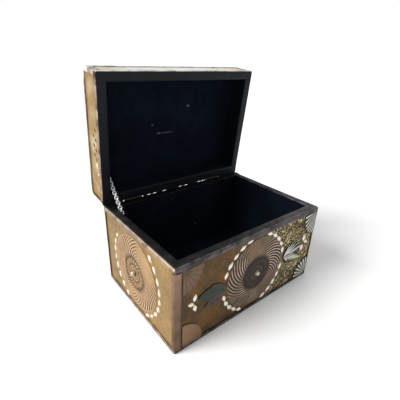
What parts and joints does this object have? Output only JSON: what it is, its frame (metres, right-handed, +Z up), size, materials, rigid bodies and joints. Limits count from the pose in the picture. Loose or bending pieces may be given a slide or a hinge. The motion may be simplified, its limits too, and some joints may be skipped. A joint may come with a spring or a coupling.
{
  "type": "embossed metal-clad trinket box",
  "caption": "Rectangular wooden trinket box clad in embossed brass and copper sheet, with a hinged lid that a stay chain holds open, and a black lining.",
  "frame": {"origin": "middle of the underside, which the box stands on", "axes": "+X along the box, -Y out of the front, +Z up; the lid is hinged along the back"},
  "size_m": [0.2086, 0.1739, 0.2346],
  "materials": {
    "brass": "embossed sheet, aged",
    "copper": "copper sheet, browned",
    "white_metal": "white metal sheet",
    "dark_rim": "darkened copper strip",
    "wood": "dark stained softwood",
    "lining": "black flocked lining",
    "wire": "nickel-plated wire"
  },
  "bodies": {
    "box": {"box_carcass": "wood", "box_lining": "lining", "box_front_panel": "brass", "box_back_panel": "brass", "box_left_panel": "brass", "box_right_panel": "brass", "box_front_medallion": "copper", "box_back_medallion": "copper", "box_left_medallion": "copper", "box_right_medallion": "copper", "box_front_knob": "brass", "box_back_knob": "brass", "box_left_knob": "brass", "box_right_knob": "brass", "front_leaf_left": "white_metal", "front_leaf_right": "white_metal", "front_fan_lower_left": "copper", "front_fan_upper_left": "copper", "front_fan_lower_right": "white_metal", "front_fan_upper_right": "white_metal", "box_corner_strip_front_left": "copper", "box_corner_strip_front_right": "copper", "box_corner_strip_back_left": "copper", "box_corner_strip_back_right": "copper", "box_base_trim": "dark_rim", "box_rim_trim": "dark_rim", "box_hinge_leaf_left": "brass", "box_hinge_leaf_right": "brass", "hinge_pin_left": "wire", "hinge_pin_right": "wire", "box_chain_eye": "wire", "stay_chain": "wire"},
    "lid": {"lid_carcass": "wood", "lid_lining": "lining", "lid_top_panel": "brass", "lid_front_panel": "brass", "lid_back_panel": "brass", "lid_left_panel": "brass", "lid_right_panel": "brass", "lid_medallion": "copper", "lid_knob": "brass", "lid_leaf_left": "white_metal", "lid_leaf_right": "white_metal", "lid_edge_trim": "copper", "lid_rim_trim": "dark_rim", "lid_corner_strip_front_left": "copper", "lid_corner_strip_front_right": "copper", "lid_corner_strip_back_left": "copper", "lid_corner_strip_back_right": "copper", "lid_hinge_leaf_left": "brass", "lid_hinge_leaf_right": "brass", "lid_chain_eye": "wire"}
  },
  "joints": [
    {"name": "lid_hinge", "type": "hinge", "parent": "box", "child": "lid", "pos_m": [0, 0.069, 0.0948], "axis": [1, 0, 0], "range_deg": [0, 84], "deforming": ["stay_chain"]}
  ]
}
